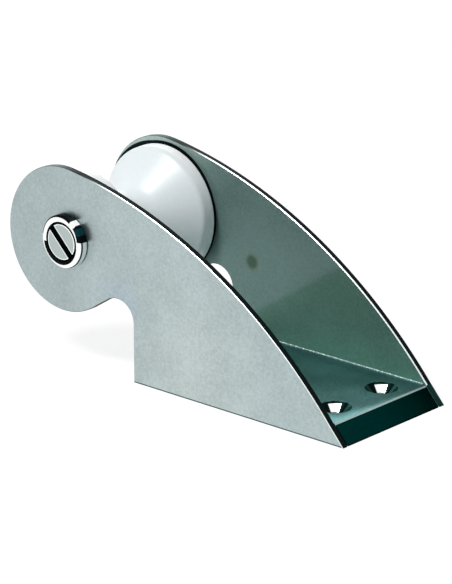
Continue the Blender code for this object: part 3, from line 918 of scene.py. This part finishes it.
def head_metal():
    """The head's face and rim, painted black as shade down the slot and groove, and plain bright steel behind
    the head.
    """
    material, tree, shader = start_material("bolt stainless", 1.0)
    shader.inputs["Specular IOR Level"].default_value = DULL_GLOSS
    x, y, z = split_place(tree, Vector((axle.x, head_face, axle.z)))
    radius = length_of(tree, x, z)
    on_face = below(tree, radius, FACE_RADIUS + FACE_MARGIN)
    sunk = above(tree, y, SUNK_DEPTH)
    on_head = below(tree, y, HEAD_HEIGHT + SEAT_MARGIN)
    face = mix_colors(tree, sunk, face_color(tree, x, z, radius), HEAD_PAINTED_DARK)
    rim, rim_dull = rim_color(tree, y, z, radius)
    color = mix_colors(tree, on_head, BRIGHT_STEEL, mix_colors(tree, on_face, rim, face))
    add_grain(tree, shader, color, HEAD_ROUGHNESS, HEAD_GRAIN)
    dull = both(tree, mix_values(tree, on_face, rim_dull, sunk), on_head)
    tree.links.new(opposite(tree, dull), shader.inputs["Metallic"])
    return material


bolt = turn_piece("slotted_bolt", bolt_profile(), BOLT_SIDES, centre_at=thread_centre)
slot_cutter = start_piece(
    "slot", bpy.ops.mesh.primitive_cube_add, size=1, location=(0, 0, head_face),
    scale=(FACE_RADIUS + GROOVE_OUTER, SLOT_WIDTH, 2 * SLOT_DEPTH),
)
bpy.ops.object.mode_set(mode="OBJECT")
place_piece(slot_cutter, (0, 0, 0), (0, 0, SLOT_ANGLE))
cut_with(bolt, slot_cutter)
place_piece(bolt, Vector((axle.x, 0, axle.z)), (-math.pi / 2, 0, 0))
finish_piece(bolt, "channel", head_metal(), "bright_stainless", "axle_bolt")

# Washer and lock nut
# A thick stainless washer and a lock nut on the far side. The nut is a hexagon with chamfered corners and
# a round collar, whose lip is rolled over a nylon ring that grips the thread.
WASHER_ROUNDING = 0.0003
NUT_ACROSS_FLATS = 0.017
NUT_HEX_HEIGHT = 0.0068
NUT_CHAMFER = math.radians(30)
COLLAR_RADIUS = 0.0074
COLLAR_ROUNDING = 0.0009
INSERT_RADIUS = 0.0064
INSERT_THICKNESS = 0.0022
INSERT_LIP = 0.0005
BOLT_HOLE_RADIUS = 0.0053
CLEARANCE = 0.0003
NUT_SIDES = 96
WASHER_STEPS = 5
COLLAR_STEPS = 6
HEXAGON_DEPTH = 0.04  # of the block that cuts the nut's flats, well past the nut
INSERT_NYLON = (0.12, 0.24, 0.50)
INSERT_ROUGHNESS = 0.5

washer_low, washer_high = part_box("nut_washer")
nut_low, nut_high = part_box("lock_nut")


def washer_profile():
    outer = (washer_high.z - washer_low.z) / 2 - WASHER_ROUNDING
    low = Vector((outer, washer_low.y + WASHER_ROUNDING))
    high = Vector((outer, washer_high.y - WASHER_ROUNDING))
    profile = [(BOLT_HOLE_RADIUS, washer_low.y)]
    profile += arc(low, WASHER_ROUNDING, -math.pi / 2, 0, WASHER_STEPS)
    profile += arc(high, WASHER_ROUNDING, 0, math.pi / 2, WASHER_STEPS)
    return profile + [(BOLT_HOLE_RADIUS, washer_high.y)]


def nut_profile():
    """Everything on the nut that is turned, hollow for the insert. The hexagon is cut afterwards."""
    flat = NUT_ACROSS_FLATS / 2
    corner = flat / math.cos(math.pi / 6)
    drop = (corner - flat) * math.tan(NUT_CHAMFER)
    shoulder = nut_low.y + NUT_HEX_HEIGHT
    top = nut_high.y
    recess = INSERT_RADIUS + CLEARANCE
    seat = top - INSERT_LIP - 2 * CLEARANCE - INSERT_THICKNESS
    profile = [(BOLT_HOLE_RADIUS, nut_low.y), (flat, nut_low.y), (corner, nut_low.y + drop)]
    profile += [(corner, shoulder - drop), (flat, shoulder), (COLLAR_RADIUS, shoulder)]
    collar = Vector((COLLAR_RADIUS - COLLAR_ROUNDING, top - COLLAR_ROUNDING))
    profile += arc(collar, COLLAR_ROUNDING, 0, math.pi / 2, COLLAR_STEPS)
    lip = recess - INSERT_LIP
    profile += [(lip, top), (lip, top - INSERT_LIP), (recess, top - INSERT_LIP)]
    return profile + [(recess, seat), (BOLT_HOLE_RADIUS, seat)]


washer = turn_piece("round_washer", washer_profile(), NUT_SIDES, closed=True)
place_piece(washer, Vector((axle.x, 0, axle.z)), (-math.pi / 2, 0, 0))
finish_piece(washer, "channel", bright_material, "bright_stainless", "nut_washer")

nut = turn_piece("hexagon_nut", nut_profile(), NUT_SIDES, closed=True)
hexagon = start_piece(
    "hexagon", bpy.ops.mesh.primitive_cylinder_add, vertices=6,
    radius=NUT_ACROSS_FLATS / 2 / math.cos(math.pi / 6), depth=HEXAGON_DEPTH, location=(0, 0, nut_low.y),
)
bpy.ops.object.mode_set(mode="OBJECT")
cut_with(nut, hexagon, "INTERSECT")
place_piece(nut, Vector((axle.x, 0, axle.z)), (-math.pi / 2, 0, 0))
finish_piece(nut, "channel", bright_material, "bright_stainless", "lock_nut")
finish_node("nut_insert", matte_plastic("insert nylon", INSERT_NYLON, INSERT_ROUGHNESS))
